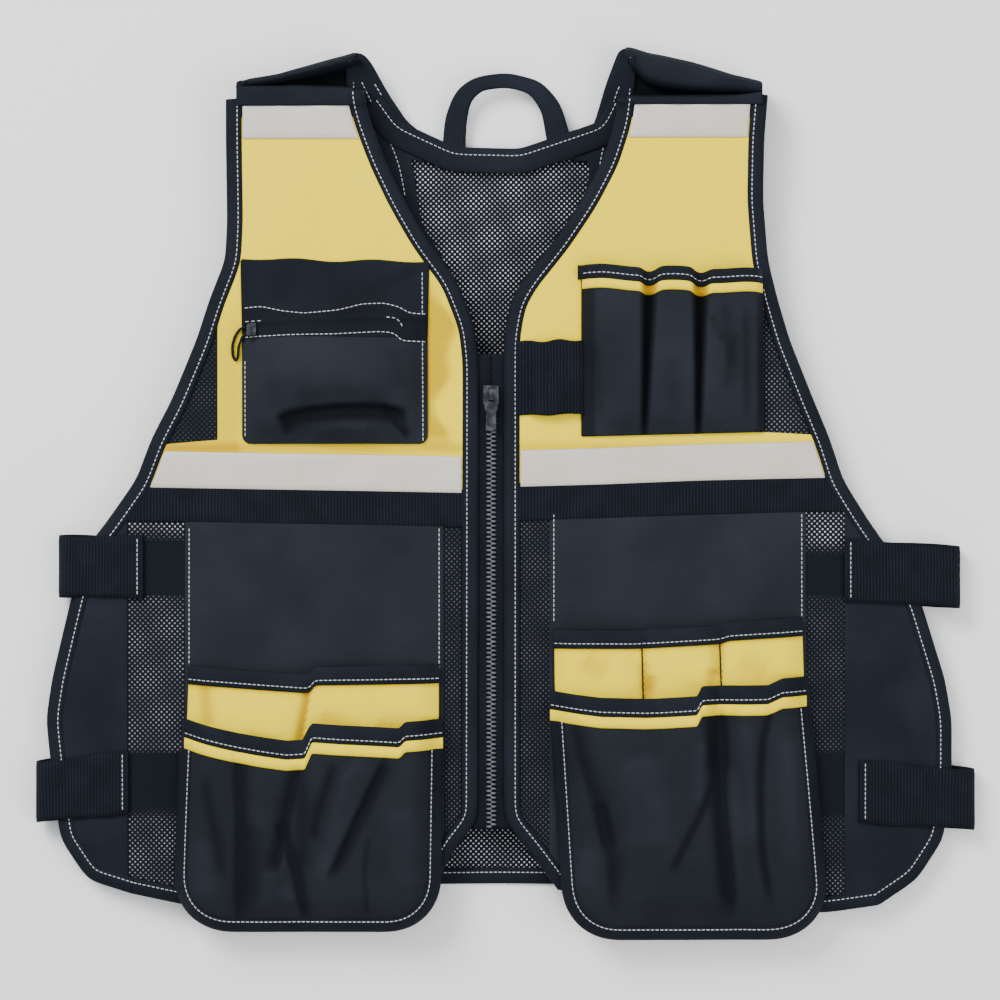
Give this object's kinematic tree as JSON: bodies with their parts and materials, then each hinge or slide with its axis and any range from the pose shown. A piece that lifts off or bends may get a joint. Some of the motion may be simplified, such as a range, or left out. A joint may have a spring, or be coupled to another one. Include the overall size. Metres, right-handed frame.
{
  "type": "utility work vest",
  "caption": "High-visibility work vest lying flat, with a front zip, reflective tapes, chest and pen pockets, large lower tool pockets and elastic side straps.",
  "frame": {"origin": "on the floor under the middle of the vest's outline, the vest lying on its back", "axes": "+Z out of the vest's front, +Y towards the neck, +X to the wearer's left (the picture's right)"},
  "size_m": [0.6146, 0.5816, 0.0516],
  "materials": {
    "mesh": "black polyester warp-knit mesh with small holes",
    "black_cloth": "black woven polyester",
    "pocket_cloth": "black coated woven pocket cloth",
    "binding": "black folded binding with pale topstitching",
    "yellow_cloth": "fluorescent yellow knitted polyester",
    "reflective_tape": "silver retroreflective tape, satin",
    "elastic": "black ribbed elastic",
    "webbing": "black polyester webbing",
    "zip_black": "black woven zip tape and moulded teeth",
    "zip_metal": "nickel-plated zinc casting"
  },
  "bodies": {
    "vest": {"armhole_binding_left": "binding", "armhole_binding_right": "binding", "back_hem_binding": "binding", "back_neck_band": "pocket_cloth", "back_panel": "mesh", "chest_panel_left": "yellow_cloth", "chest_panel_right": "yellow_cloth", "chest_pocket_bag": "pocket_cloth", "chest_pocket_pull": "binding", "chest_pocket_slider": "zip_metal", "chest_pocket_top": "pocket_cloth", "chest_pocket_zip": "zip_black", "chest_tape_left": "reflective_tape", "chest_tape_right": "reflective_tape", "front_panel_left": "mesh", "front_panel_right": "mesh", "handle": "webbing", "hem_binding_left": "binding", "hem_binding_right": "binding", "neck_binding_left": "binding", "neck_binding_right": "binding", "pen_binding": "binding", "pen_piping": "yellow_cloth", "pen_pocket": "pocket_cloth", "pocket_base_left": "pocket_cloth", "pocket_base_right": "pocket_cloth", "pocket_edge_binding_left": "binding", "pocket_edge_binding_right": "binding", "pocket_front_left": "pocket_cloth", "pocket_front_right": "pocket_cloth", "pocket_mid_binding_left": "binding", "pocket_mid_binding_right": "binding", "pocket_mid_left": "yellow_cloth", "pocket_mid_right": "yellow_cloth", "pocket_mouth_binding_left": "binding", "pocket_mouth_binding_right": "binding", "pocket_piping_left": "yellow_cloth", "pocket_piping_right": "yellow_cloth", "rib_band_left": "elastic", "rib_band_right": "elastic", "shoulder_tape_left": "reflective_tape", "shoulder_tape_right": "reflective_tape", "shoulder_yoke_left": "black_cloth", "shoulder_yoke_right": "black_cloth", "side_panel_left": "black_cloth", "side_panel_right": "black_cloth", "strap_lower_left": "elastic", "strap_lower_right": "elastic", "strap_upper_left": "elastic", "strap_upper_right": "elastic", "tool_band": "elastic", "zipper_slider": "zip_metal", "zipper_tape_left": "zip_black", "zipper_tape_right": "zip_black", "zipper_teeth_left": "zip_black", "zipper_teeth_right": "zip_black"},
    "pull": {"zipper_pull": "zip_metal"}
  },
  "joints": [
    {"name": "pull_hinge", "type": "hinge", "parent": "vest", "child": "pull", "pos_m": [-0.00942, 0.06289, 0.02791], "axis": [-1, 0, 0], "range_deg": [0, 170]}
  ]
}
